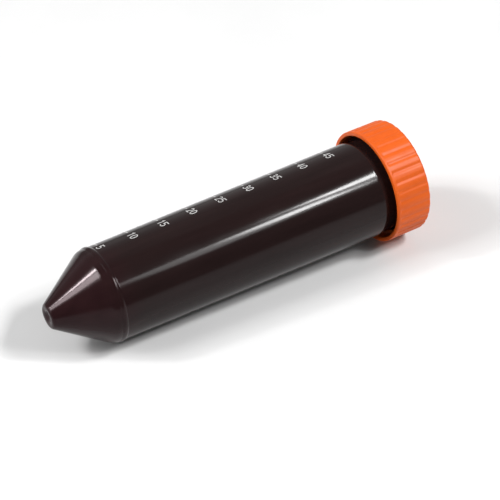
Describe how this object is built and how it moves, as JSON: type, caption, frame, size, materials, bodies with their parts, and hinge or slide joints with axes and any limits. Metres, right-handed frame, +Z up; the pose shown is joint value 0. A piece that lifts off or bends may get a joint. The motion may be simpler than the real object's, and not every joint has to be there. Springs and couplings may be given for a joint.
{
  "type": "conical centrifuge tube",
  "caption": "Dark light-blocking conical-bottom laboratory tube lying on its side, with a printed volume scale and a ribbed orange screw cap that unscrews and lifts off.",
  "frame": {"origin": "on the table, under the middle of the capped tube as it lies on its side", "axes": "+X along the tube from tip to cap, +Z up from the table, +Y to the left seen from the tip; the tube's own axis rises by 1.95 degrees towards the cap, because it rests on the bead ring and on the wider cap"},
  "size_m": [0.1174, 0.0344, 0.0347],
  "materials": {
    "tube_plastic": "glossy",
    "cap_plastic": "satin",
    "liner_foam": "matte",
    "scale_ink": "matte"
  },
  "bodies": {
    "tube": {"tube_body": "tube_plastic"},
    "liner": {"sealing_liner": "liner_foam"},
    "cap": {"screw_cap": "cap_plastic"}
  },
  "joints": [
    {"name": "cap_lift", "type": "slide", "parent": "tube", "child": "liner", "axis": [0.9994, 0, 0.0338], "range_m": [0, 0.0161]},
    {"name": "cap_turn", "type": "hinge", "parent": "liner", "child": "cap", "pos_m": [0.05129, 0, 0.01733], "axis": [0.9994, 0, 0.0338], "range_deg": [0, 1440]}
  ],
  "couplings": [
    {"joint": "cap_lift", "follows": "cap_turn", "m_per_rad": 0.00063662}
  ]
}
